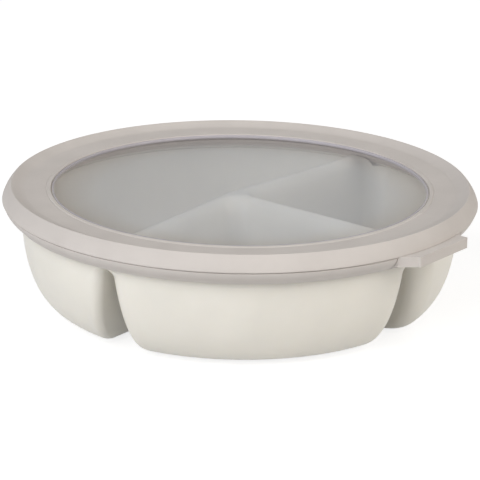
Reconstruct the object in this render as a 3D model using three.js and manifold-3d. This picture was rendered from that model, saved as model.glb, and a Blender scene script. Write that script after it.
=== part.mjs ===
// Round bento bowl: a one-piece bowl with three wells, and a lid that is peeled off by its tab.
// The lid is a milky window held by a soft ring, with a seal under the ring that presses on the bowl's rim.
// Millimetres, +Z up. The origin is on the bowl's axis, on the surface that it stands on.

import * as THREE from "three";
import { mergeVertices } from "three/addons/utils/BufferGeometryUtils.js";
import Module from "manifold-3d";

const wasm = await Module();
wasm.setup();

// Fits
const CLEARANCE = 0.3; // between pieces of the lid, and under the seal
const SKIRT_CLEARANCE = 0.4; // between the rim's bead and the skirt
const PLUG_CLEARANCE = 0.6; // between the lid's plug wall and the bowl's mouth
const CREST_CLEARANCE = 0.4; // between the dividers and the lid above them
const DIP_CLEARANCE = 1.6; // below the plug wall, where it crosses a divider

// Bowl
const FOOT_RADIUS = 63.4;
const BELLY_BULGE = 31.2; // how far the belly stands out past the foot
const BELLY_HEIGHT = 41;
const BELLY_RISE = 2; // powers of the belly's curve
const BELLY_ROUND = 3.5;
const RIM_BAND = 7.2; // upright wall above the belly
const WALL = 2.2;
const FLOOR = 2.2;
const BEAD_WIDTH = 2; // the rim's bead, past the belly
const BEAD_DEPTH = 4.2;
const BEAD_ROUND = 0.9;
const MOUTH_LEDGE = 0.5; // the mouth is wider than the wells by this much on each side

// Dividers, each a hollow fold of the wall with a groove below it
const GROOVE_FOOT = 9; // half the groove's width at the foot
const GROOVE_DRAFT = 5.9; // how much narrower that half is at the top of the belly
const MOUTH_ARCH_RISE = 5.5; // arch that closes the groove, up to the top of the belly
const CREST_RISE = 10; // rounded top of a divider
const FOOT_ROUND = 4.6; // rounding under the lobes, beside the grooves
const LOBE_CORNER_FOOT = 0.9; // rounding of a lobe's upright edges, at its foot
const LOBE_CORNER_TOP = 8.7; // and at the top: it grows as the belly widens
const LOBE_HUB = 8;
const WELL_CORNER = 10;
const WELL_HUB = 9;
const WELL_FLOOR_ROUND = 7;
const RIDGE_FALL = 0.4; // a crest is this much lower at its end than at the hub
const RIDGE_SETBACK = 6.6; // from the ring's lip to where that end starts to round over
const DIP_SETBACK = 1.5; // from the lid's plug wall to the foot of that end
const CORE_STEP = 0.4; // the hollow's upper part is narrower than the groove by this much
const CREST_FLAT = 0.03; // keeps the wells apart at the very top of a crest

// Lid
const SEAL_HEIGHT = 2.2;
const SEAL_BEAD = 0.8; // height of the two sealing beads
const RING_ROOF = 1.2; // from the seal's channel to the dish
const SHOULDER_RISE = 2.2; // from the dish to the shoulder
const SHOULDER_ROUND = 0.4;
const BAND_DROP = 6.65; // from the shoulder to the seam
const BAND_LEAN = 3.6; // from the shoulder out to the seam
const SEAM_THICKNESS = 6; // from the skirt's inside to the seam
const SEAM_STEP = 0.5;
const SKIRT_DROP = 6.5; // from the seam to the skirt's edge
const SKIRT_THICKNESS = 1.9; // at that edge
const PLUG_WALL = 2.4;
const PLUG_DEPTH = 3.6; // below the bowl's rim
const SLOT_BACK = 3.3; // from the plug wall to the slot that holds the window
const SLOT_ROOF = 1.3;
const LIP = 1.1; // lip of the ring under the window's flange
const LIP_SETBACK = 2.6;
const WINDOW_BEAD = 0.3; // rise of the bead round the window
const WINDOW_BEAD_WIDTH = 2.2;
const PANEL = 1.2;
const FLANGE_GRIP = 4.3;
const UPSTAND = 1.1; // thickness of the window's upstand
const UPSTAND_RISE = 1.6;
const TAB_REACH = 3.6; // past the seam
const TAB_DROP = 0.1; // its top, below the seam
const TAB_WIDTH = 33.6;
const TAB_FLARE = 4.7; // each end spreads by this much towards the skirt
const TAB_THICKNESS = 4.5;
const TAB_ROOT = 0.9; // the tab starts this deep in the skirt
const TAB_ROUND = 0.8;
const SLIT_WIDTH = 0.8;

// Facets
const TURN_STEPS = 72;
const CURVE_STEPS = 3;
const CORNER_STEPS = 5;
const QUARTER_STEPS = 12;
const WALL_LEVELS = 7;
const WALL_CROWDING = 2.4; // levels lie closer together at the foot, where the wall curves most
const ARCH_LEVELS = 4;
const CREST_LEVELS = 5;
const TOP_CROWDING = 2; // and closer together at the top of an arch or crest
const WELD = 1e-4; // points nearer than this are one point

// Directions, in degrees from +X. The tab is above the divider between the two quarter wells.
const TAB_DIRECTION = -45;
const DIVIDERS = [-135, -45, 45];
const WELLS = [
  { direction: -90, span: 90 },
  { direction: 0, span: 90 },
  { direction: 135, span: 180 },
];

// Heights and radii that follow from the sizes above
const rimHeight = BELLY_HEIGHT + RIM_BAND;
const bellyRadius = FOOT_RADIUS + BELLY_BULGE;
const beadRadius = bellyRadius + BEAD_WIDTH;
const mouthRadius = bellyRadius - WALL + MOUTH_LEDGE;
const plugOuter = mouthRadius - PLUG_CLEARANCE;
const plugInner = plugOuter - PLUG_WALL;
const plugBottom = rimHeight - PLUG_DEPTH;
const channelRoof = rimHeight + CLEARANCE + SEAL_HEIGHT + CLEARANCE;
const skirtInner = beadRadius + SKIRT_CLEARANCE;
const dishHeight = channelRoof + RING_ROOF;
const shoulderHeight = dishHeight + SHOULDER_RISE;
const seamHeight = shoulderHeight - BAND_DROP;
const seamRadius = skirtInner + SEAM_THICKNESS;
const shoulderRadius = seamRadius - BAND_LEAN;
const skirtBottom = seamHeight - SKIRT_DROP;
const slotEnd = plugInner - SLOT_BACK;
const slotTop = dishHeight - SLOT_ROOF;
const panelTop = slotTop - CLEARANCE;
const panelBottom = panelTop - PANEL;
const slotBottom = panelBottom - CLEARANCE;
const lipBottom = slotBottom - LIP;
const flangeRadius = slotEnd - CLEARANCE;
const windowRadius = flangeRadius - FLANGE_GRIP;
const crestHeight = panelBottom - CREST_CLEARANCE;
const crestEnd = crestHeight - RIDGE_FALL;
const lipRadius = windowRadius + LIP_SETBACK;
const ridgeEnd = lipRadius - RIDGE_SETBACK;
const dipHeight = plugBottom - DIP_CLEARANCE;
const blankTop = panelBottom; // the lobes' top before the mouth is cut
const radians = THREE.MathUtils.degToRad;

// A closed geometry as a solid that can be joined and cut.
function solid(geometry) {
  geometry.deleteAttribute("normal");
  geometry.deleteAttribute("uv");
  const merged = mergeVertices(geometry, WELD);
  const position = merged.getAttribute("position").array;
  const faces = [];
  for (let i = 0; i < merged.index.count; i += 3) {
    const [a, b, c] = merged.index.array.slice(i, i + 3);
    if (a !== b && b !== c && c !== a) faces.push(a, b, c);
  }
  const triVerts = new Uint32Array(faces);
  return new wasm.Manifold(new wasm.Mesh({ numProp: 3, vertProperties: position, triVerts }));
}

// A solid as a named mesh.
function mesh(name, body, look) {
  const { vertProperties, triVerts } = body.getMesh();
  const geometry = new THREE.BufferGeometry();
  geometry.setAttribute("position", new THREE.BufferAttribute(vertProperties, 3));
  geometry.setIndex(new THREE.BufferAttribute(triVerts, 1));
  geometry.computeVertexNormals();
  const made = new THREE.Mesh(geometry, new THREE.MeshStandardMaterial(look));
  made.name = name;
  return made;
}

// A profile of radius and height, turned about the Z axis.
function turned(path) {
  const points = path.getPoints(CURVE_STEPS);
  if (THREE.ShapeUtils.isClockWise(points)) points.reverse();
  return solid(new THREE.LatheGeometry(points, TURN_STEPS).rotateX(Math.PI / 2));
}

// A flat outline raised from one height to another.
function raised(outline, bottom, top) {
  const settings = { depth: top - bottom, bevelEnabled: false, curveSegments: CORNER_STEPS };
  return new THREE.ExtrudeGeometry(outline, settings).translate(0, 0, bottom);
}

// Level outlines with the same number of points, joined into one closed body.
function loft(levels) {
  const count = levels[0].outline.length;
  const position = levels.flatMap(({ outline, z }) => outline.flatMap((p) => [p.x, p.y, z]));
  const index = [];
  for (let level = 0; level + 1 < levels.length; level++) {
    for (let i = 0; i < count; i++) {
      const a = level * count + i;
      const b = level * count + ((i + 1) % count);
      index.push(a, b, b + count, a, b + count, a + count);
    }
  }
  const top = (levels.length - 1) * count;
  const lowest = THREE.ShapeUtils.triangulateShape(levels[0].outline, []);
  const highest = THREE.ShapeUtils.triangulateShape(levels.at(-1).outline, []);
  for (const [a, b, c] of lowest) index.push(c, b, a);
  for (const [a, b, c] of highest) index.push(top + a, top + b, top + c);
  const geometry = new THREE.BufferGeometry();
  geometry.setAttribute("position", new THREE.Float32BufferAttribute(position, 3));
  geometry.setIndex(index);
  return solid(geometry);
}

// Points on an arc, both ends included.
function arc(centre, radius, from, to, steps) {
  return Array.from({ length: steps + 1 }, (_, i) => {
    const angle = from + ((to - from) * i) / steps;
    return new THREE.Vector2(centre.x + radius * Math.cos(angle), centre.y + radius * Math.sin(angle));
  });
}

// Outline of a lobe or well about +X: a sector whose straight sides lie a gap away from the dividers'
// middle lines, with its outer corners and its corner at the hub rounded.
function sector({ span, radius, gap, corner, hub }) {
  const half = radians(span / 2);
  const offset = gap + corner;
  const along = Math.sqrt((radius - corner) ** 2 - offset ** 2);
  const side = new THREE.Vector2(Math.cos(half), Math.sin(half));
  const inward = new THREE.Vector2(side.y, -side.x);
  const upper = side.clone().multiplyScalar(along).addScaledVector(inward, offset);
  const lower = new THREE.Vector2(upper.x, -upper.y);
  const lean = Math.atan2(upper.y, upper.x);
  const square = half + Math.PI / 2;
  const wallSteps = (QUARTER_STEPS * span) / 90;
  const outline = arc({ x: 0, y: 0 }, radius, -lean, lean, wallSteps);
  outline.push(...arc(upper, corner, lean, square, CORNER_STEPS).slice(1));
  if (span < 180) {
    const centre = new THREE.Vector2((gap + hub) / Math.sin(half), 0);
    outline.push(...arc(centre, hub, square, 2 * Math.PI - square, CORNER_STEPS));
  }
  outline.push(...arc(lower, corner, 2 * Math.PI - square, 2 * Math.PI - lean, CORNER_STEPS).slice(0, -1));
  return outline;
}

// Share of its full bulge that the belly has at a height.
function bulge(z) {
  const left = Math.max(0, 1 - z / BELLY_HEIGHT);
  return (1 - left ** BELLY_RISE) ** (1 / BELLY_ROUND);
}

// Radius of the belly's outer face: a flat foot that curves up into an upright wall.
function belly(z) {
  return FOOT_RADIUS + BELLY_BULGE * bulge(z);
}

// Half the groove's width between two lobes, before its foot is rounded.
function groove(z) {
  return GROOVE_FOOT - GROOVE_DRAFT * Math.min(1, z / BELLY_HEIGHT);
}

// How far a quarter-round edge of this size has still to go out, at a height above where it starts.
function rounding(size, height) {
  const left = Math.max(0, size - height);
  return size - Math.sqrt(size ** 2 - left ** 2);
}

// Share of its full width that an arch keeps at a height, from its springing to its top.
function arch(z, springing, top) {
  const share = THREE.MathUtils.clamp((z - springing) / (top - springing), 0, 1);
  return Math.sqrt(1 - share ** 2);
}

// Heights from a start to an end, closer together near the start.
function heights(from, to, steps, crowding) {
  return Array.from({ length: steps + 1 }, (_, i) => from + (to - from) * (i / steps) ** crowding);
}

// Heights up to a top, closer together near it.
function heightsBelow(top, rise, steps) {
  return heights(top, top - rise, steps, TOP_CROWDING).reverse();
}

// Outside of one lobe. In the arch at the top the lobes run into each other until the wall is round.
function lobe({ direction, span }) {
  const springing = BELLY_HEIGHT - MOUTH_ARCH_RISE;
  const wall = heights(0, springing, WALL_LEVELS, WALL_CROWDING).slice(0, -1);
  const closing = heightsBelow(BELLY_HEIGHT, MOUTH_ARCH_RISE, ARCH_LEVELS);
  const body = loft(
    [...wall, ...closing, blankTop].map((z) => {
      const corner = THREE.MathUtils.lerp(LOBE_CORNER_FOOT, LOBE_CORNER_TOP, bulge(z));
      const wide = groove(z) + rounding(FOOT_ROUND, z);
      const gap = (wide + corner) * arch(z, springing, BELLY_HEIGHT) - corner;
      return { z, outline: sector({ span, radius: belly(z), gap, corner, hub: LOBE_HUB }) };
    }),
  );
  return body.rotate([0, 0, direction]);
}

// Inside of one well, up to the dividers' crest.
function well({ direction, span }) {
  const springing = crestHeight - CREST_RISE;
  const wall = heights(FLOOR, springing, WALL_LEVELS, WALL_CROWDING).slice(0, -1);
  const crest = heightsBelow(crestHeight, CREST_RISE, CREST_LEVELS);
  const body = loft(
    [...wall, ...crest].map((z) => {
      const share = (z - FLOOR) / (BELLY_HEIGHT - FLOOR);
      const radius = belly(share * BELLY_HEIGHT) - WALL;
      const wide = (groove(z) + WALL) * arch(z, springing, crestHeight + CREST_FLAT);
      const gap = wide + rounding(WELL_FLOOR_ROUND, z - FLOOR);
      return { z, outline: sector({ span, radius, gap, corner: WELL_CORNER, hub: WELL_HUB }) };
    }),
  );
  return body.rotate([0, 0, direction]);
}

// Upright band above the belly, with the bead that the lid's skirt goes over.
function rim() {
  const inside = mouthRadius - WALL;
  const bottom = rimHeight - BEAD_DEPTH;
  const path = new THREE.Path();
  path.moveTo(inside, bottom);
  path.lineTo(bellyRadius, bottom);
  path.quadraticCurveTo(beadRadius, bottom, beadRadius, bottom + BEAD_WIDTH);
  path.lineTo(beadRadius, rimHeight - BEAD_ROUND);
  path.quadraticCurveTo(beadRadius, rimHeight, beadRadius - BEAD_ROUND, rimHeight);
  path.lineTo(inside, rimHeight);
  path.closePath();
  return turned(path);
}

// What is cut away above the dividers and the rim: the crests fall a little from the hub to their ends,
// and round over there so that the lid's plug wall can go round inside the rim.
function mouth() {
  const above = blankTop + WALL;
  const beyond = beadRadius + WALL;
  const path = new THREE.Path();
  path.moveTo(0, crestHeight);
  path.lineTo(ridgeEnd, crestEnd);
  path.quadraticCurveTo(lipRadius, crestEnd - CREST_CLEARANCE, plugInner - DIP_SETBACK, dipHeight);
  path.lineTo(mouthRadius, dipHeight);
  path.lineTo(mouthRadius, rimHeight);
  path.lineTo(beyond, rimHeight);
  path.lineTo(beyond, above);
  path.lineTo(0, above);
  path.closePath();
  return turned(path);
}

// Hollow inside one divider, above the arch at the end of its groove.
function core(direction) {
  const start = BELLY_HEIGHT - 2 * MOUTH_ARCH_RISE;
  const roof = crestEnd - WALL;
  const springing = roof - CREST_RISE;
  const reach = ridgeEnd - WALL;
  const half = (z) => (groove(z) - CORE_STEP) * arch(z, springing, roof);
  const levels = [start, ...heightsBelow(roof, CREST_RISE, ARCH_LEVELS)];
  const right = levels.map((z) => new THREE.Vector2(half(z), z));
  const left = right.slice(0, -1).reverse().map((p) => new THREE.Vector2(-p.x, p.y));
  const lying = raised(new THREE.Shape([...right, ...left]), -WALL, reach);
  return solid(lying.rotateX(Math.PI / 2).rotateZ(Math.PI / 2 + radians(direction)));
}

function bowl() {
  let body = rim();
  for (const part of WELLS) body = body.add(lobe(part));
  for (const part of WELLS) body = body.subtract(well(part));
  body = body.subtract(mouth());
  for (const direction of DIVIDERS) body = body.subtract(core(direction));
  return body;
}

// Panel with a low upstand at the edge of the recess, and the flange that the ring grips.
function lidWindow() {
  const edge = windowRadius - CLEARANCE;
  const path = new THREE.Path();
  path.moveTo(0, panelBottom);
  path.lineTo(flangeRadius, panelBottom);
  path.lineTo(flangeRadius, panelTop);
  path.lineTo(edge, panelTop);
  path.lineTo(edge, panelTop + UPSTAND_RISE - UPSTAND / 2);
  path.quadraticCurveTo(edge, panelTop + UPSTAND_RISE, edge - UPSTAND / 2, panelTop + UPSTAND_RISE);
  path.lineTo(edge - UPSTAND, panelTop + UPSTAND / 2);
  path.quadraticCurveTo(edge - UPSTAND, panelTop, edge - 2 * UPSTAND, panelTop);
  path.lineTo(0, panelTop);
  path.closePath();
  return turned(path);
}

// Section of the ring, from the edge of the window over the shoulder to the skirt and back underneath.
function ringSection() {
  const beadTop = dishHeight + WINDOW_BEAD;
  const beadEnd = windowRadius + WINDOW_BEAD_WIDTH;
  const beadMiddle = windowRadius + WINDOW_BEAD_WIDTH / 2;
  const dishEnd = shoulderRadius - 2 * SHOULDER_RISE;
  const bandMiddle = shoulderHeight - BAND_DROP / 2;
  const seam = seamRadius - SEAM_STEP;
  const edge = skirtInner + SKIRT_THICKNESS;
  const edgeRound = SKIRT_THICKNESS / 4;
  const skirtMiddle = skirtBottom + SKIRT_DROP / 2;
  const path = new THREE.Path();
  path.moveTo(windowRadius, slotTop);
  path.lineTo(windowRadius, beadTop - WINDOW_BEAD);
  path.quadraticCurveTo(windowRadius, beadTop, beadMiddle, beadTop);
  path.quadraticCurveTo(beadEnd, beadTop, beadEnd, dishHeight);
  path.lineTo(dishEnd - SHOULDER_RISE, dishHeight);
  path.quadraticCurveTo(dishEnd, dishHeight, shoulderRadius - SHOULDER_ROUND, shoulderHeight);
  path.lineTo(shoulderRadius, shoulderHeight - SHOULDER_ROUND);
  path.quadraticCurveTo(seamRadius - BAND_LEAN / 4, bandMiddle, seamRadius, seamHeight);
  path.lineTo(seam, seamHeight - SEAM_STEP);
  path.quadraticCurveTo(seam - SEAM_STEP, skirtMiddle, edge, skirtBottom + 2 * edgeRound);
  path.quadraticCurveTo(edge - edgeRound, skirtBottom, skirtInner + edgeRound, skirtBottom);
  path.lineTo(skirtInner, skirtBottom + edgeRound);
  path.lineTo(skirtInner, channelRoof);
  path.lineTo(plugOuter, channelRoof);
  path.lineTo(plugOuter, plugBottom + PLUG_WALL / 2);
  path.quadraticCurveTo(plugOuter, plugBottom, plugInner + PLUG_WALL / 2, plugBottom);
  path.lineTo(plugInner, plugBottom + PLUG_WALL / 4);
  path.lineTo(plugInner, lipBottom);
  path.lineTo(lipRadius, lipBottom);
  path.lineTo(lipRadius, slotBottom);
  path.lineTo(slotEnd, slotBottom);
  path.lineTo(slotEnd, slotTop);
  path.closePath();
  return path;
}

// Pull tab: a thick plate with a straight edge, spread where it meets the skirt. Built about +X.
function tab() {
  const edge = seamRadius + TAB_REACH;
  const half = TAB_WIDTH / 2;
  const root = skirtInner + TAB_ROOT;
  const spread = Math.asin((half + TAB_FLARE) / root);
  const outline = new THREE.Shape();
  outline.absarc(0, 0, root, spread, -spread, true);
  outline.lineTo(edge - TAB_ROUND, -half);
  outline.quadraticCurveTo(edge, -half, edge, TAB_ROUND - half);
  outline.lineTo(edge, half - TAB_ROUND);
  outline.quadraticCurveTo(edge, half, edge - TAB_ROUND, half);
  outline.closePath();
  const top = seamHeight - TAB_DROP;
  return solid(raised(outline, top - TAB_THICKNESS, top));
}

// Relief slit through the skirt at one end of the tab. Built about +X.
function slit(end) {
  const root = skirtInner + TAB_ROOT;
  const spread = Math.asin((TAB_WIDTH / 2 + TAB_FLARE + SLIT_WIDTH) / root);
  const depth = 2 * SEAM_THICKNESS;
  const height = 2 * SKIRT_DROP;
  const top = seamHeight - SEAM_STEP;
  const geometry = new THREE.BoxGeometry(depth, SLIT_WIDTH, height);
  return solid(geometry.translate(skirtInner + depth / 4, 0, top - height / 2).rotateZ(end * spread));
}

function lidRing() {
  const grip = tab().subtract(slit(1)).subtract(slit(-1)).rotate([0, 0, TAB_DIRECTION]);
  let body = turned(ringSection());
  for (const end of [1, -1]) body = body.subtract(slit(end).rotate([0, 0, TAB_DIRECTION]));
  return body.add(grip);
}

// Flat ring with two beads on its underside.
function lidSeal() {
  const inner = plugOuter + CLEARANCE;
  const outer = skirtInner - CLEARANCE;
  const top = channelRoof - CLEARANCE;
  const bottom = rimHeight + CLEARANCE;
  const flat = bottom + SEAL_BEAD;
  const middle = (inner + outer) / 2;
  const path = new THREE.Path();
  path.moveTo(inner, flat);
  path.quadraticCurveTo((inner + middle) / 2, bottom - SEAL_BEAD, middle, flat);
  path.quadraticCurveTo((middle + outer) / 2, bottom - SEAL_BEAD, outer, flat);
  path.lineTo(outer, top);
  path.lineTo(inner, top);
  path.closePath();
  return turned(path);
}

const lid = new THREE.Group();
lid.add(mesh("lid_window", lidWindow(), { color: 0xd9dbdb, roughness: 0.3, metalness: 0 }));
lid.add(mesh("lid_ring", lidRing(), { color: 0xc9c0ba, roughness: 0.6, metalness: 0 }));
lid.add(mesh("lid_seal", lidSeal(), { color: 0xe3e1dc, roughness: 0.5, metalness: 0 }));

const group = new THREE.Group();
group.add(mesh("bowl", bowl(), { color: 0xdfdcd2, roughness: 0.45, metalness: 0 }));
group.add(lid);

export default group;
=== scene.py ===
import math

import bmesh
import bpy
from mathutils import Matrix, Vector


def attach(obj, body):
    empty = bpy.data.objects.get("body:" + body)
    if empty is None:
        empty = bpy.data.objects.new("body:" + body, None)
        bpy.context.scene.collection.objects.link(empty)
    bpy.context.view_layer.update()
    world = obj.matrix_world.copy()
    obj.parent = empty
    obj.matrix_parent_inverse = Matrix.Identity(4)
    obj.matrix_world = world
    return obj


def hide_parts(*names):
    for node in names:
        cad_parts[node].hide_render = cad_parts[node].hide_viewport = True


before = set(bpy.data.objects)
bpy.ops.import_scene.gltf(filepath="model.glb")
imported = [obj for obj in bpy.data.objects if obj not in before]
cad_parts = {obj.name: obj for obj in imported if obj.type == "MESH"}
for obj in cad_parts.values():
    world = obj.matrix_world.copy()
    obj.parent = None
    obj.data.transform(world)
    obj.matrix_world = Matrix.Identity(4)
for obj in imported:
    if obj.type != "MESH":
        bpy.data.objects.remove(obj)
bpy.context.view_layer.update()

# Bowl: one injection moulding with a half well and two quarter wells. The dividers are folds of the same
# wall, so below each of them a groove runs between the lobes, closed by a small arch at the outer wall.
# The rim is an upright band with a bead that the lid's skirt goes over.
MM = 0.001
FOOT_RADIUS = 63.4
BELLY_BULGE = 31.2
BELLY_HEIGHT = 41.0
BELLY_RISE = 2.0
BELLY_ROUND = 3.5
BELLY_RADIUS = FOOT_RADIUS + BELLY_BULGE
WALL = 2.2
FLOOR = 2.2
GROOVE_FOOT = 9.0
GROOVE_DRAFT = 5.9
FOOT_ROUND = 4.6
LOBE_CORNER_FOOT = 0.9
# A lobe's corner at its widest, and how far that stands into the groove, by the lobe's span in degrees.
LOBE_CORNER_TOP = {90: 8.7, 180: 4.4}
LOBE_REACH = {90: 0.0, 180: 4.6}
LOBE_HUB = 8.0
WELL_CORNER = 8.0
WELL_HUB = 9.0
WELL_FLOOR_ROUND = 7.0
ARCH_RISE = 5.5
CREST_HEIGHT = 49.0
CREST_END = 47.7
CREST_RISE = 10.0
CREST_FLAT = 0.03
RIDGE_END = 84.0
RIDGE_LEAN = 0.8
RIDGE_SAG = 0.3
HOLLOW_START = BELLY_HEIGHT - 2 * ARCH_RISE
HOLLOW_ROOF = CREST_END - WALL - 0.5
HOLLOW_INSET = 0.4
RIM_HEIGHT = 48.2
RIM_ROUND = 0.9
BEAD_RADIUS = 96.6
BEAD_START = RIM_HEIGHT - 4.2
BEAD_FULL = RIM_HEIGHT - 2.2
MOUTH_RADIUS = 92.9
MOUTH_ROUND = 0.5
DIP_HEIGHT = 43.0
DIP_RADIUS = 89.4
HUB_SHIFT = 4.4
QUARTER_STEPS = 48
CORNER_STEPS = 14
SIDE_STEPS = 8
LONG_SIDE_STEPS = 24
WALL_LEVELS = 26
WALL_CROWDING = 2.5
TOP_LEVELS = 12
TOP_CROWDING = 2.0
TURN_STEPS = 192
CURVE_STEPS = 10
CRISP_ANGLE = 35
MERGE_DISTANCE = 1e-6
AXIS_DISTANCE = 1e-7
# Each well's direction and span, and each divider's direction, in degrees.
WELLS = ((-90, 90), (0, 90), (135, 180))
DIVIDERS = (-135, -45, 45)
TO_LARGE_WELL = Vector((-1, 1, 0)).normalized()


def bulge(z):
    """Share of its full bulge that the belly has at a height."""
    left = max(0.0, 1 - z / BELLY_HEIGHT)
    return (1 - left ** BELLY_RISE) ** (1 / BELLY_ROUND)


def belly(z):
    """Radius of the belly's outer face at a height."""
    return FOOT_RADIUS + BELLY_BULGE * bulge(z)


def groove(z):
    """Half the width of the groove between two lobes."""
    return GROOVE_FOOT - GROOVE_DRAFT * min(1.0, z / BELLY_HEIGHT)


def rounding(size, height):
    """How far a quarter-round edge has still to go out at a height above its start."""
    left = max(0.0, size - height)
    return size - math.sqrt(size ** 2 - left ** 2)


def arch(z, springing, top):
    """Share of its full width that an arch keeps at a height."""
    share = min(1.0, max(0.0, (z - springing) / (top - springing)))
    return math.sqrt(1 - share ** 2)


def heights(start, end, steps, crowding):
    """Heights from a start to an end, closer together near the start."""
    return [start + (end - start) * (i / steps) ** crowding for i in range(steps + 1)]


def arc(x, y, radius, start, end, steps):
    """Points on an arc, both ends included."""
    angles = [start + (end - start) * i / steps for i in range(steps + 1)]
    return [(x + radius * math.cos(a), y + radius * math.sin(a)) for a in angles]


def between(start, end, steps):
    """Points on a straight line, without its ends."""
    (x0, y0), (x1, y1) = start, end
    return [(x0 + (x1 - x0) * i / steps, y0 + (y1 - y0) * i / steps) for i in range(1, steps)]


def sector(span, radius, gap, corner, hub):
    """Outline of a lobe or well about +X, a gap away from the dividers' middle lines."""
    half = math.radians(span / 2)
    offset = gap + corner
    along = math.sqrt((radius - corner) ** 2 - offset ** 2)
    x = along * math.cos(half) + offset * math.sin(half)
    y = along * math.sin(half) - offset * math.cos(half)
    lean = math.atan2(y, x)
    square = half + math.pi / 2
    turn = 2 * math.pi
    points = arc(0, 0, radius, -lean, lean, QUARTER_STEPS * span // 90)
    points += arc(x, y, corner, lean, square, CORNER_STEPS)[1:]
    last = arc(x, -y, corner, turn - square, turn - lean, CORNER_STEPS)[:-1]
    if span < 180:
        middle = arc((gap + hub) / math.sin(half), 0, hub, square, turn - square, CORNER_STEPS)
        points += between(points[-1], middle[0], SIDE_STEPS) + middle
        points += between(middle[-1], last[0], SIDE_STEPS)
    else:
        points += between(points[-1], last[0], LONG_SIDE_STEPS)
    return points + last


def circle_to_shape(name, count):
    """A filled circle in edit mode, with each of its points marked with its place round it."""
    bpy.ops.object.select_all(action="DESELECT")
    bpy.ops.mesh.primitive_circle_add(vertices=count, radius=1, fill_type="NGON")
    piece = bpy.context.object
    piece.name = name
    bpy.ops.object.mode_set(mode="EDIT")
    work = bmesh.from_edit_mesh(piece.data)
    place = work.verts.layers.int.new("place")
    for i, vert in enumerate(work.verts):
        vert[place] = i
    return piece


def shape_selected(piece, outline):
    """Puts the selected points of an outline where they belong, given in millimetres."""
    work = bmesh.from_edit_mesh(piece.data)
    place = work.verts.layers.int["place"]
    for vert in work.verts:
        if vert.select:
            vert.co = Vector(outline[vert[place]]) * MM
    bmesh.update_edit_mesh(piece.data)


def close_shape():
    """Merges what meets, turns the faces outwards and leaves edit mode."""
    bpy.ops.mesh.select_all(action="SELECT")
    bpy.ops.mesh.remove_doubles(threshold=MERGE_DISTANCE)
    bpy.ops.mesh.normals_make_consistent(inside=False)
    bpy.ops.object.mode_set(mode="OBJECT")
    mesh = bpy.context.object.data
    mesh.attributes.remove(mesh.attributes["place"])


def lofted(name, outlines):
    """A solid raised by extruding one outline through the next ones."""
    piece = circle_to_shape(name, len(outlines[0]))
    shape_selected(piece, outlines[0])
    for outline in outlines[1:]:
        bpy.ops.mesh.extrude_region_move()
        shape_selected(piece, outline)
    close_shape()
    return piece


def section(start, *moves):
    """Points of a cut through a turned piece: a move is a point, or a control point and a point."""
    points = [start]
    for move in moves:
        if len(move) == 2:
            points.append(move)
            continue
        (r0, z0), (r1, z1, r2, z2) = points[-1], move
        for i in range(1, CURVE_STEPS + 1):
            t = i / CURVE_STEPS
            a, b, c = (1 - t) ** 2, 2 * t * (1 - t), t ** 2
            points.append((a * r0 + b * r1 + c * r2, a * z0 + b * z1 + c * z2))
    return points


def turned(name, points):
    """A cut spun about the axis into a closed piece."""
    piece = circle_to_shape(name, len(points))
    shape_selected(piece, [(r, 0, z) for r, z in points])
    bpy.ops.mesh.delete(type="ONLY_FACE")
    bpy.ops.mesh.select_all(action="SELECT")
    work = bmesh.from_edit_mesh(piece.data)
    for edge in work.edges:
        edge.select = max(abs(vert.co.x) for vert in edge.verts) < AXIS_DISTANCE
    bpy.ops.mesh.delete(type="EDGE")
    bpy.ops.mesh.select_all(action="SELECT")
    bpy.ops.mesh.spin(steps=TURN_STEPS, angle=2 * math.pi, center=(0, 0, 0), axis=(0, 0, 1))
    close_shape()
    return piece


def turn_piece(piece, degrees):
    """Turns a piece about the object's axis, with the turn kept in its mesh."""
    piece.data.transform(Matrix.Rotation(math.radians(degrees), 4, "Z"))


def shift_hub(piece):
    """Draws the middle of a turned piece towards the large well, where the dividers meet."""
    for vert in piece.data.vertices:
        share = max(0.0, 1 - vert.co.xy.length / (MOUTH_RADIUS * MM)) ** 2
        vert.co += TO_LARGE_WELL * HUB_SHIFT * MM * share


def combine(piece, tool, operation):
    """Joins a solid to a piece or cuts it out of it, and removes that solid."""
    bpy.ops.object.select_all(action="DESELECT")
    bpy.context.view_layer.objects.active = piece
    bpy.ops.object.modifier_add(type="BOOLEAN")
    modifier = piece.modifiers[-1]
    modifier.operation = operation
    modifier.solver = "EXACT"
    modifier.object = tool
    bpy.ops.object.modifier_apply(modifier=modifier.name)
    bpy.data.objects.remove(tool)


def smooth(piece):
    """Smooth shading, broken at edges that are meant to be crisp."""
    bpy.ops.object.select_all(action="DESELECT")
    piece.select_set(True)
    bpy.context.view_layer.objects.active = piece
    bpy.ops.object.shade_smooth_by_angle(angle=math.radians(CRISP_ANGLE))


def lobe_outlines(span):
    """A lobe's outer face, from its foot to the height at which the arches close the grooves."""
    springing = BELLY_HEIGHT - ARCH_RISE
    wall = heights(0, springing, WALL_LEVELS, WALL_CROWDING)[:-1]
    closing = heights(BELLY_HEIGHT, springing, TOP_LEVELS, TOP_CROWDING)[::-1]
    outlines = []
    for z in wall + closing:
        corner = LOBE_CORNER_FOOT + (LOBE_CORNER_TOP[span] - LOBE_CORNER_FOOT) * bulge(z)
        wide = groove(z) - LOBE_REACH[span] * bulge(z) + rounding(FOOT_ROUND, z)
        gap = (wide + corner) * arch(z, springing, BELLY_HEIGHT) - corner
        outlines.append([(x, y, z) for x, y in sector(span, belly(z), gap, corner, LOBE_HUB)])
    return outlines


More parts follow.
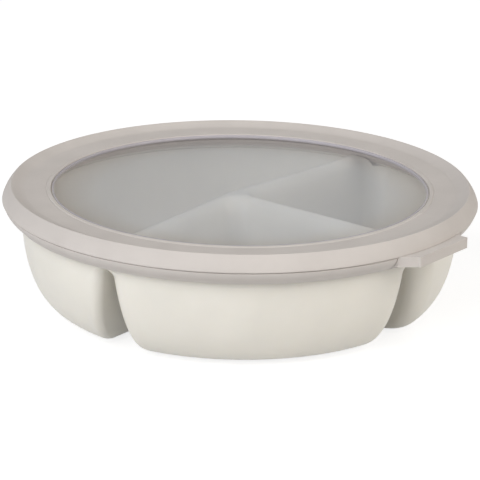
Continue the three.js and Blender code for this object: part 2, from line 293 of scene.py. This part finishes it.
def well_outlines(span):
    """The inside of a well, from its floor to past the crests, which sink a little towards the wall."""
    springing = CREST_HEIGHT - CREST_RISE
    wall = heights(FLOOR, springing, WALL_LEVELS, WALL_CROWDING)[:-1]
    crest = heights(CREST_HEIGHT, springing, TOP_LEVELS, TOP_CROWDING)[::-1]
    outlines = []
    for z in wall + crest:
        radius = belly((z - FLOOR) / (BELLY_HEIGHT - FLOOR) * BELLY_HEIGHT) - WALL
        gap = (groove(z) + WALL) * arch(z, springing, CREST_HEIGHT + CREST_FLAT)
        gap += rounding(WELL_FLOOR_ROUND, z - FLOOR)
        fall = (CREST_HEIGHT - CREST_END) / RIDGE_END * max(0.0, (z - springing) / CREST_RISE)
        plan = sector(span, radius, gap, WELL_CORNER, WELL_HUB)
        outlines.append([(x, y, z - fall * math.hypot(x, y)) for x, y in plan])
    outlines.append([(x, y, CREST_HEIGHT + WALL) for x, y, z in outlines[-1]])
    return outlines


def hollow_outlines():
    """The hollow inside a divider, above the arch at the end of its groove, along +X."""
    springing = HOLLOW_ROOF - CREST_RISE
    levels = [HOLLOW_START] + heights(HOLLOW_ROOF, springing, TOP_LEVELS, TOP_CROWDING)[::-1]
    side = [((groove(z) - HOLLOW_INSET) * arch(z, springing, HOLLOW_ROOF), z) for z in levels]
    around = side + [(-y, z) for y, z in side[-2::-1]]
    length = RIDGE_END - WALL
    return [[(length * i / SIDE_STEPS, y, z) for y, z in around] for i in range(SIDE_STEPS + 1)]


rim_cut = section(
    (0, BELLY_HEIGHT), (BELLY_RADIUS, BELLY_HEIGHT), (BELLY_RADIUS, BEAD_START),
    (BEAD_RADIUS, BEAD_START, BEAD_RADIUS, BEAD_FULL), (BEAD_RADIUS, RIM_HEIGHT - RIM_ROUND),
    (BEAD_RADIUS, RIM_HEIGHT, BEAD_RADIUS - RIM_ROUND, RIM_HEIGHT),
    (MOUTH_RADIUS + MOUTH_ROUND, RIM_HEIGHT),
    (MOUTH_RADIUS, RIM_HEIGHT, MOUTH_RADIUS, RIM_HEIGHT - MOUTH_ROUND),
    (MOUTH_RADIUS, DIP_HEIGHT), (DIP_RADIUS, DIP_HEIGHT),
    (DIP_RADIUS - RIDGE_LEAN, CREST_END - RIDGE_SAG, RIDGE_END, CREST_END), (0, CREST_HEIGHT))
bowl = turned("bowl_moulding", rim_cut)
for direction, span in WELLS:
    lobe = lofted("lobe", lobe_outlines(span))
    turn_piece(lobe, direction)
    shift_hub(lobe)
    combine(bowl, lobe, "UNION")
for direction, span in WELLS:
    well = lofted("well", well_outlines(span))
    turn_piece(well, direction)
    shift_hub(well)
    combine(bowl, well, "DIFFERENCE")
for direction in DIVIDERS:
    hollow = lofted("hollow", hollow_outlines())
    turn_piece(hollow, direction)
    shift_hub(hollow)
    combine(bowl, hollow, "DIFFERENCE")
smooth(bowl)


def linear(colour):
    """An sRGB hex colour as linear red, green, blue and alpha."""
    parts = [int(colour[i:i + 2], 16) / 255 for i in (1, 3, 5)]
    return [p / 12.92 if p <= 0.04045 else ((p + 0.055) / 1.055) ** 2.4 for p in parts] + [1.0]


def add_node(tree, kind, values=(), links=(), **settings):
    """Adds a node with its settings, its sockets' values and the outputs that feed it."""
    made = tree.nodes.new(kind)
    for name, value in settings.items():
        setattr(made, name, value)
    for socket, value in dict(values).items():
        made.inputs[socket].default_value = value
    for socket, output in dict(links).items():
        tree.links.new(output, made.inputs[socket])
    return made


# Polypropylene with a cream masterbatch, moulded in a finely blasted tool: satin, a little waxy in its
# depth, with a faint cloudiness from the flow. The grain is about 0.1 mm on the real bowl, too fine to
# show, so it is drawn at 0.5 mm.
CREAM_CLOUD = 22.0
CREAM_GRAIN = 0.5
CREAM_GRAIN_DEPTH = 0.06
CREAM_LIGHT_DEPTH = 1.5

cream = bpy.data.materials.new("cream_moulded_polypropylene")
cream.use_nodes = True
tree = cream.node_tree
coordinates = add_node(tree, "ShaderNodeTexCoord").outputs["Object"]
cloud = add_node(tree, "ShaderNodeTexNoise", {
    "Scale": 1 / (CREAM_CLOUD * MM), "Detail": 3, "Roughness": 0.5}, {"Vector": coordinates})
tint = add_node(tree, "ShaderNodeValToRGB", links={"Fac": cloud.outputs["Fac"]})
tint.color_ramp.elements[0].position = 0.3
tint.color_ramp.elements[0].color = linear("#E8E5DD")
tint.color_ramp.elements[1].position = 0.7
tint.color_ramp.elements[1].color = linear("#EDEAE2")
grain = add_node(tree, "ShaderNodeTexNoise", {"Scale": 1 / (CREAM_GRAIN * MM), "Detail": 2},
                 {"Vector": coordinates})
relief = add_node(tree, "ShaderNodeBump", {"Strength": 0.12, "Distance": CREAM_GRAIN_DEPTH * MM},
                  {"Height": grain.outputs["Fac"]})
gloss = add_node(tree, "ShaderNodeMapRange", {"To Min": 0.40, "To Max": 0.50},
                 {"Value": cloud.outputs["Fac"]})
surface = tree.nodes["Principled BSDF"]
surface.inputs["IOR"].default_value = 1.49
surface.inputs["Subsurface Weight"].default_value = 0.12
surface.inputs["Subsurface Radius"].default_value = (1.0, 0.85, 0.6)
surface.inputs["Subsurface Scale"].default_value = CREAM_LIGHT_DEPTH * MM
tree.links.new(tint.outputs["Color"], surface.inputs["Base Color"])
tree.links.new(gloss.outputs["Result"], surface.inputs["Roughness"])
tree.links.new(relief.outputs["Normal"], surface.inputs["Normal"])
bowl.data.materials.clear()
bowl.data.materials.append(cream)
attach(bowl, "bowl")
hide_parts("bowl")

# Window: a moulded disc of milky polypropylene in the middle of the lid. A low upstand runs round the
# recess, and a flat flange outside it is held in the ring's slot.
PANEL_TOP = 50.6
PANEL_BOTTOM = 49.4
FLANGE_RADIUS = 86.3
FLANGE_ROUND = 0.2
UPSTAND_OUTER = 81.7
UPSTAND_INNER = 80.6
UPSTAND_TOP = PANEL_TOP + 1.6
UPSTAND_ROUND_OUTER = 0.55
UPSTAND_ROUND_INNER = 0.5
UPSTAND_FOOT = PANEL_TOP + 0.8
UPSTAND_FILLET = 1.1

window = turned("lid_window_panel", section(
    (0, PANEL_BOTTOM), (FLANGE_RADIUS - FLANGE_ROUND, PANEL_BOTTOM),
    (FLANGE_RADIUS, PANEL_BOTTOM, FLANGE_RADIUS, PANEL_BOTTOM + FLANGE_ROUND),
    (FLANGE_RADIUS, PANEL_TOP - FLANGE_ROUND),
    (FLANGE_RADIUS, PANEL_TOP, FLANGE_RADIUS - FLANGE_ROUND, PANEL_TOP),
    (UPSTAND_OUTER, PANEL_TOP), (UPSTAND_OUTER, UPSTAND_TOP - UPSTAND_ROUND_OUTER),
    (UPSTAND_OUTER, UPSTAND_TOP, UPSTAND_OUTER - UPSTAND_ROUND_OUTER, UPSTAND_TOP),
    (UPSTAND_INNER, UPSTAND_TOP, UPSTAND_INNER, UPSTAND_TOP - UPSTAND_ROUND_INNER),
    (UPSTAND_INNER, UPSTAND_FOOT),
    (UPSTAND_INNER, PANEL_TOP, UPSTAND_INNER - UPSTAND_FILLET, PANEL_TOP), (0, PANEL_TOP)))
smooth(window)

# Clarified polypropylene left milky by a fine texture on its underside: see-through, with a soft grey veil
# over what lies below it. Towards its edge it is painted darker and warmer: painted shade under the ring
# and a painted reflection of the ring's colour. The upstand is paler and denser. The texture is about 0.2
# mm on the real panel and is drawn at 0.8 mm so that it shows.
FROST_GRAIN = 0.8
FROST_DEPTH = 0.05
EDGE_SHADE_START = 62.0

milky = bpy.data.materials.new("milky_clear_polypropylene")
milky.use_nodes = True
tree = milky.node_tree
coordinates = add_node(tree, "ShaderNodeTexCoord").outputs["Object"]
frost = add_node(tree, "ShaderNodeTexNoise", {"Scale": 1 / (FROST_GRAIN * MM), "Detail": 2},
                 {"Vector": coordinates})
relief = add_node(tree, "ShaderNodeBump", {"Strength": 0.05, "Distance": FROST_DEPTH * MM},
                  {"Height": frost.outputs["Fac"]})
place = add_node(tree, "ShaderNodeSeparateXYZ", links={"Vector": coordinates})
flat = add_node(tree, "ShaderNodeCombineXYZ", links={"X": place.outputs["X"], "Y": place.outputs["Y"]})
radius = add_node(tree, "ShaderNodeVectorMath", operation="LENGTH", links={0: flat.outputs["Vector"]})
# Painted shade and painted reflection: the panel's colour turns darker and warmer from here out to its
# edge, where the ring shades it and shows through.
edge = add_node(tree, "ShaderNodeMapRange", {
    "From Min": EDGE_SHADE_START * MM, "From Max": UPSTAND_INNER * MM}, {"Value": radius.outputs["Value"]})
tint = add_node(tree, "ShaderNodeValToRGB", links={"Fac": edge.outputs["Result"]})
tint.color_ramp.elements[0].color = linear("#E6EBF4")
tint.color_ramp.elements[1].color = linear("#CCC6C5")
rise = add_node(tree, "ShaderNodeMapRange", {
    "From Min": PANEL_TOP * MM, "From Max": UPSTAND_FOOT * MM}, {"Value": place.outputs["Z"]})
milk = add_node(tree, "ShaderNodeMixRGB", {"Color2": linear("#DAD7E2")},
                {"Fac": rise.outputs["Result"], "Color1": tint.outputs["Color"]})
veil = add_node(tree, "ShaderNodeMapRange", {"To Min": 0.25, "To Max": 0.45},
                {"Value": rise.outputs["Result"]})
surface = tree.nodes["Principled BSDF"]
surface.inputs["Roughness"].default_value = 0.22
surface.inputs["IOR"].default_value = 1.49
tree.links.new(milk.outputs["Color"], surface.inputs["Base Color"])
tree.links.new(veil.outputs["Result"], surface.inputs["Alpha"])
tree.links.new(relief.outputs["Normal"], surface.inputs["Normal"])
window.data.materials.clear()
window.data.materials.append(milky)
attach(window, "lid")
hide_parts("lid_window")

# Ring: a soft elastomer moulded round the window's flange. Its top is dished up to a crisp shoulder, the
# band outside slopes to a seam, and the skirt below goes over the bowl's bead. The pull tab is moulded on
# at the seam, with a slit through the skirt at each end so that it can be bent up.
WINDOW_RADIUS = 82.0
DISH_HEIGHT = 52.2
DISH_START = 92.8
DISH_BEND = 95.0
BORDER_HEIGHT = DISH_HEIGHT + 0.2
BORDER_ROUND = 0.4
BORDER_EDGE = WINDOW_RADIUS + 1.3
LINE_START = WINDOW_RADIUS + 1.8
LINE_END = WINDOW_RADIUS + 2.2
LINE_DEPTH = 0.2
SHOULDER_RADIUS = 99.4
SHOULDER_HEIGHT = 54.4
BAND_BEND_RADIUS = 102.1
BAND_BEND_HEIGHT = 51.1
SEAM_RADIUS = 103.0
SEAM_HEIGHT = 47.75
SEAM_DEPTH = 1.0
SEAM_FLOOR = SEAM_HEIGHT - 0.5
SKIRT_INNER = 97.0
SKIRT_BOTTOM = 41.25
SKIRT_ROUND = 0.5
CHANNEL_ROOF = 51.0
PLUG_OUTER = 92.3
PLUG_INNER = 89.9
PLUG_BOTTOM = 44.6
PLUG_ROUND = 1.2
PLUG_FILLET = 0.6
SLOT_TOP = 50.9
SLOT_BOTTOM = 49.1
SLOT_END = 86.6
LIP_BOTTOM = 48.0
LIP_RADIUS = 84.6
LIP_ROUND = 0.3
TAB_DIRECTION = -45
TAB_EDGE = 107.0
TAB_HALF = 16.8
TAB_STRAIGHT = 17.5
TAB_FLARE = 4.7
TAB_ROOT = SKIRT_INNER + 0.9
TAB_SKIRT = SEAM_RADIUS - 0.8
TAB_TOP = SEAM_HEIGHT - 0.1
TAB_THICKNESS = 4.5
TAB_BEVEL = 0.45
FLARED_CORNER = 1.0
STRAIGHT_CORNER = 0.5
SLIT_WIDTH = 0.5
SLIT_START = 94.0
SLIT_END = 106.0
SLIT_BOTTOM = SKIRT_BOTTOM - 2
SLIT_TOP = SEAM_HEIGHT - 0.65

ring = turned("lid_soft_ring", section(
    # A low border round the window, and the fine line outside it.
    (WINDOW_RADIUS, SLOT_TOP), (WINDOW_RADIUS, DISH_HEIGHT - 0.15),
    (WINDOW_RADIUS, BORDER_HEIGHT, WINDOW_RADIUS + BORDER_ROUND, BORDER_HEIGHT),
    (BORDER_EDGE, BORDER_HEIGHT - 0.02),
    (BORDER_EDGE + BORDER_ROUND, DISH_HEIGHT + 0.15, LINE_START, DISH_HEIGHT - 0.05),
    (LINE_START + 0.15, DISH_HEIGHT - LINE_DEPTH, LINE_END, DISH_HEIGHT - 0.02),
    # The dished top, the shoulder and the sloping band.
    (LINE_END + 0.2, DISH_HEIGHT), (DISH_START, DISH_HEIGHT),
    (DISH_BEND, DISH_HEIGHT, SHOULDER_RADIUS - 0.45, SHOULDER_HEIGHT - 0.05),
    (SHOULDER_RADIUS - 0.1, SHOULDER_HEIGHT, SHOULDER_RADIUS + 0.15, SHOULDER_HEIGHT - 0.4),
    (BAND_BEND_RADIUS, BAND_BEND_HEIGHT, SEAM_RADIUS, SEAM_HEIGHT + 0.15),
    # The seam's groove and the skirt.
    (SEAM_RADIUS, SEAM_HEIGHT - 0.1, SEAM_RADIUS - 0.3, SEAM_HEIGHT - 0.12),
    (SEAM_RADIUS - SEAM_DEPTH, SEAM_HEIGHT - 0.15), (SEAM_RADIUS - SEAM_DEPTH, SEAM_FLOOR),
    (SEAM_RADIUS - 0.55, SEAM_FLOOR - 0.05, SEAM_RADIUS - 0.5, SEAM_FLOOR - 0.2),
    (SEAM_RADIUS - SEAM_DEPTH, SKIRT_BOTTOM + 3.25, SKIRT_INNER + 1.9, SKIRT_BOTTOM + 0.95),
    (SKIRT_INNER + 1.4, SKIRT_BOTTOM, SKIRT_INNER + SKIRT_ROUND, SKIRT_BOTTOM),
    (SKIRT_INNER, SKIRT_BOTTOM, SKIRT_INNER, SKIRT_BOTTOM + SKIRT_ROUND),
    # The seal's channel, the plug, and the lip and slot that hold the window's flange.
    (SKIRT_INNER, CHANNEL_ROOF), (PLUG_OUTER, CHANNEL_ROOF), (PLUG_OUTER, PLUG_BOTTOM + PLUG_ROUND),
    (PLUG_OUTER, PLUG_BOTTOM, PLUG_INNER + PLUG_ROUND, PLUG_BOTTOM),
    (PLUG_INNER, PLUG_BOTTOM, PLUG_INNER, PLUG_BOTTOM + PLUG_FILLET),
    (PLUG_INNER, LIP_BOTTOM + PLUG_FILLET),
    (PLUG_INNER, LIP_BOTTOM, PLUG_INNER - PLUG_FILLET, LIP_BOTTOM), (LIP_RADIUS + LIP_ROUND, LIP_BOTTOM),
    (LIP_RADIUS, LIP_BOTTOM, LIP_RADIUS, LIP_BOTTOM + LIP_ROUND), (LIP_RADIUS, SLOT_BOTTOM),
    (SLOT_END, SLOT_BOTTOM), (SLOT_END, SLOT_TOP)))


def tab_outline():
    """Plan of the tab about +X: an arc inside the skirt, a flared and a straight end, and the edge."""
    spread = math.asin((TAB_HALF + TAB_FLARE) / TAB_ROOT)
    root = arc(0, 0, TAB_ROOT, math.asin(TAB_STRAIGHT / TAB_ROOT), -spread, CURVE_STEPS)
    skirt = (TAB_SKIRT * math.cos(spread), -TAB_SKIRT * math.sin(spread))
    edge = section(
        root[-1], skirt, (TAB_EDGE - FLARED_CORNER, -TAB_HALF),
        (TAB_EDGE, -TAB_HALF, TAB_EDGE, FLARED_CORNER - TAB_HALF),
        (TAB_EDGE, TAB_STRAIGHT - STRAIGHT_CORNER),
        (TAB_EDGE, TAB_STRAIGHT, TAB_EDGE - STRAIGHT_CORNER, TAB_STRAIGHT))
    return root + edge[1:]


plan = tab_outline()
tab = lofted("tab", [[(x, y, z) for x, y in plan] for z in (TAB_TOP - TAB_THICKNESS, TAB_TOP)])
bpy.ops.object.mode_set(mode="EDIT")
bpy.ops.mesh.select_all(action="DESELECT")
work = bmesh.from_edit_mesh(tab.data)
for edge in work.edges:
    a, b = (vert.co for vert in edge.verts)
    edge.select = abs(a.z - b.z) < MERGE_DISTANCE
bmesh.update_edit_mesh(tab.data)
bpy.ops.mesh.bevel(offset=TAB_BEVEL * MM, segments=4, affect="EDGES")
bpy.ops.mesh.select_all(action="SELECT")
bpy.ops.mesh.normals_make_consistent(inside=False)
bpy.ops.object.mode_set(mode="OBJECT")
turn_piece(tab, TAB_DIRECTION)
combine(ring, tab, "UNION")
slit_turn = math.degrees(math.asin((TAB_HALF + TAB_FLARE + SLIT_WIDTH) / TAB_ROOT))
side = SLIT_WIDTH / 2
slit_plan = [(SLIT_START, -side), (SLIT_END, -side), (SLIT_END, side), (SLIT_START, side)]
for end in (1, -1):
    slit = lofted("slit", [[(x, y, z) for x, y in slit_plan] for z in (SLIT_BOTTOM, SLIT_TOP)])
    turn_piece(slit, TAB_DIRECTION + end * slit_turn)
    combine(ring, slit, "DIFFERENCE")
smooth(ring)

# Thermoplastic elastomer in a warm grey, moulded with a dull, slightly powdery skin. Its grain is about
# 0.15 mm, drawn at 0.6 mm so that it shows.
GREY_CLOUD = 18.0
GREY_GRAIN = 0.6
GREY_GRAIN_DEPTH = 0.08

soft_grey = bpy.data.materials.new("warm_grey_soft_elastomer")
soft_grey.use_nodes = True
tree = soft_grey.node_tree
coordinates = add_node(tree, "ShaderNodeTexCoord").outputs["Object"]
cloud = add_node(tree, "ShaderNodeTexNoise", {
    "Scale": 1 / (GREY_CLOUD * MM), "Detail": 4, "Roughness": 0.55}, {"Vector": coordinates})
tint = add_node(tree, "ShaderNodeValToRGB", links={"Fac": cloud.outputs["Fac"]})
tint.color_ramp.elements[0].position = 0.3
tint.color_ramp.elements[0].color = linear("#CCC6C2")
tint.color_ramp.elements[1].position = 0.7
tint.color_ramp.elements[1].color = linear("#D2CCC8")
grain = add_node(tree, "ShaderNodeTexNoise", {"Scale": 1 / (GREY_GRAIN * MM), "Detail": 3},
                 {"Vector": coordinates})
relief = add_node(tree, "ShaderNodeBump", {"Strength": 0.2, "Distance": GREY_GRAIN_DEPTH * MM},
                  {"Height": grain.outputs["Fac"]})
gloss = add_node(tree, "ShaderNodeMapRange", {"To Min": 0.58, "To Max": 0.7},
                 {"Value": cloud.outputs["Fac"]})
surface = tree.nodes["Principled BSDF"]
surface.inputs["IOR"].default_value = 1.48
surface.inputs["Specular IOR Level"].default_value = 0.4
surface.inputs["Sheen Weight"].default_value = 0.08
surface.inputs["Sheen Roughness"].default_value = 0.5
tree.links.new(tint.outputs["Color"], surface.inputs["Base Color"])
tree.links.new(gloss.outputs["Result"], surface.inputs["Roughness"])
tree.links.new(relief.outputs["Normal"], surface.inputs["Normal"])
ring.data.materials.clear()
ring.data.materials.append(soft_grey)
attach(ring, "lid")
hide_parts("lid_ring")

# Seal: a flat ring of pale silicone that lies in the channel under the ring, with two soft beads on its
# underside that press on the bowl's rim.
SEAL_GAP = 0.3
SEAL_ROUND = 0.3
SEAL_INNER = PLUG_OUTER + SEAL_GAP
SEAL_OUTER = SKIRT_INNER - SEAL_GAP
SEAL_TOP = CHANNEL_ROOF - SEAL_GAP
SEAL_FLAT = RIM_HEIGHT + 1.1
SEAL_BEAD = RIM_HEIGHT - 0.5
SEAL_MIDDLE = (SEAL_INNER + SEAL_OUTER) / 2

seal = turned("lid_seal_ring", section(
    (SEAL_INNER, SEAL_FLAT), ((SEAL_INNER + SEAL_MIDDLE) / 2, SEAL_BEAD, SEAL_MIDDLE, SEAL_FLAT),
    ((SEAL_MIDDLE + SEAL_OUTER) / 2, SEAL_BEAD, SEAL_OUTER, SEAL_FLAT),
    (SEAL_OUTER, SEAL_TOP - SEAL_ROUND),
    (SEAL_OUTER, SEAL_TOP, SEAL_OUTER - SEAL_ROUND, SEAL_TOP), (SEAL_INNER + SEAL_ROUND, SEAL_TOP),
    (SEAL_INNER, SEAL_TOP, SEAL_INNER, SEAL_TOP - SEAL_ROUND)))
smooth(seal)

# Food silicone: pale, slightly cloudy in its depth, with a soft skin.
SILICONE_CLOUD = 9.0
SILICONE_LIGHT_DEPTH = 1.0

silicone = bpy.data.materials.new("pale_moulded_silicone")
silicone.use_nodes = True
tree = silicone.node_tree
coordinates = add_node(tree, "ShaderNodeTexCoord").outputs["Object"]
cloud = add_node(tree, "ShaderNodeTexNoise", {"Scale": 1 / (SILICONE_CLOUD * MM), "Detail": 3},
                 {"Vector": coordinates})
tint = add_node(tree, "ShaderNodeValToRGB", links={"Fac": cloud.outputs["Fac"]})
tint.color_ramp.elements[0].color = linear("#DFDDD7")
tint.color_ramp.elements[1].color = linear("#E9E7E1")
surface = tree.nodes["Principled BSDF"]
surface.inputs["Roughness"].default_value = 0.5
surface.inputs["IOR"].default_value = 1.41
surface.inputs["Subsurface Weight"].default_value = 0.2
surface.inputs["Subsurface Radius"].default_value = (1.0, 0.9, 0.8)
surface.inputs["Subsurface Scale"].default_value = SILICONE_LIGHT_DEPTH * MM
tree.links.new(tint.outputs["Color"], surface.inputs["Base Color"])
seal.data.materials.clear()
seal.data.materials.append(silicone)
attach(seal, "lid")
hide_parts("lid_seal")

# Floor: a plain pale studio table that keeps the bowl's shadow. What the camera sees of it is lifted to
# white, and what lights the bowl from below is the paper's own colour.
FLOOR_SIZE = 12

bpy.ops.object.select_all(action="DESELECT")
bpy.ops.mesh.primitive_plane_add(size=FLOOR_SIZE, location=(0, 0, 0))
floor = bpy.context.object
floor.name = "studio_floor"
table_white = bpy.data.materials.new("pale_studio_table")
table_white.use_nodes = True
tree = table_white.node_tree
tree.nodes.remove(tree.nodes["Principled BSDF"])
paper = add_node(tree, "ShaderNodeBsdfDiffuse", {"Color": linear("#D8D8D8")})
shown = add_node(tree, "ShaderNodeBsdfDiffuse", {"Color": linear("#A8A8A8")})
lift = add_node(tree, "ShaderNodeEmission", {"Color": linear("#FFFFFF"), "Strength": 0.78})
lifted = add_node(tree, "ShaderNodeAddShader", links={0: shown.outputs[0], 1: lift.outputs[0]})
path = add_node(tree, "ShaderNodeLightPath")
seen = add_node(tree, "ShaderNodeMath", operation="MAXIMUM",
                links={0: path.outputs["Is Camera Ray"], 1: path.outputs["Is Glossy Ray"]})
seen = add_node(tree, "ShaderNodeMath", operation="MAXIMUM",
                links={0: seen.outputs[0], 1: path.outputs["Is Transmission Ray"]})
mixed = add_node(tree, "ShaderNodeMixShader",
                 links={0: seen.outputs[0], 1: paper.outputs[0], 2: lifted.outputs[0]})
tree.links.new(mixed.outputs[0], tree.nodes["Material Output"].inputs["Surface"])
floor.data.materials.append(table_white)

# Light: a dim white room with three large softboxes: the main one at the front left, a weaker and slightly
# warm one at the right, and a faint one overhead. All of them face the bowl.
LIT_POINT = (0, 0, 0.03)

scene = bpy.context.scene
scene.view_settings.view_transform = "Standard"
scene.world = bpy.data.worlds.new("white_room")
scene.world.use_nodes = True
tree = scene.world.node_tree
room = tree.nodes["Background"]
room.inputs["Color"].default_value = linear("#FFFFFF")
room.inputs["Strength"].default_value = 0.16
backdrop = add_node(tree, "ShaderNodeBackground", {"Color": linear("#FFFFFF"), "Strength": 1.0})
path = add_node(tree, "ShaderNodeLightPath")
mixed = add_node(tree, "ShaderNodeMixShader", links={
    0: path.outputs["Is Camera Ray"], 1: room.outputs[0], 2: backdrop.outputs[0]})
tree.links.new(mixed.outputs[0], tree.nodes["World Output"].inputs["Surface"])


def point_at(thing, place, target):
    """Puts a lamp or camera at a place, facing a target, in metres."""
    thing.location = place
    thing.rotation_euler = (Vector(target) - Vector(place)).to_track_quat("-Z", "Y").to_euler()


for name, size, energy, colour, place in (
        ("front_left_softbox", 1.8, 38, "#FFFFFF", (-1.4, -1.28, 1.12)),
        ("right_softbox", 1.8, 25, "#FFF9F0", (1.62, -0.95, 1.05)),
        ("overhead_softbox", 1.2, 3, "#FFFFFF", (-0.1, 0.5, 1.7))):
    bpy.ops.object.light_add(type="AREA")
    lamp = bpy.context.object
    lamp.name = name
    lamp.data.shape = "SQUARE"
    lamp.data.size = size
    lamp.data.energy = energy
    lamp.data.color = linear(colour)[:3]
    point_at(lamp, place, LIT_POINT)

# Camera: a long lens about 1.2 m away, a little to the left of the front and looking down at about 18
# degrees, with a slight roll.
CAMERA_PLACE = (-0.1373, -1.12315, 0.39962)
CAMERA_TARGET = (0.00025, -0.00003, 0.02789)
CAMERA_LENS = 204.6
CAMERA_ROLL = 0.87

bpy.ops.object.camera_add()
camera = bpy.context.object
camera.name = "photo_camera"
camera.data.sensor_width = 36
camera.data.lens = CAMERA_LENS
camera.data.clip_start = 0.05
camera.data.clip_end = 50
point_at(camera, CAMERA_PLACE, CAMERA_TARGET)
camera.rotation_euler.rotate_axis("Z", math.radians(CAMERA_ROLL))
scene.camera = camera
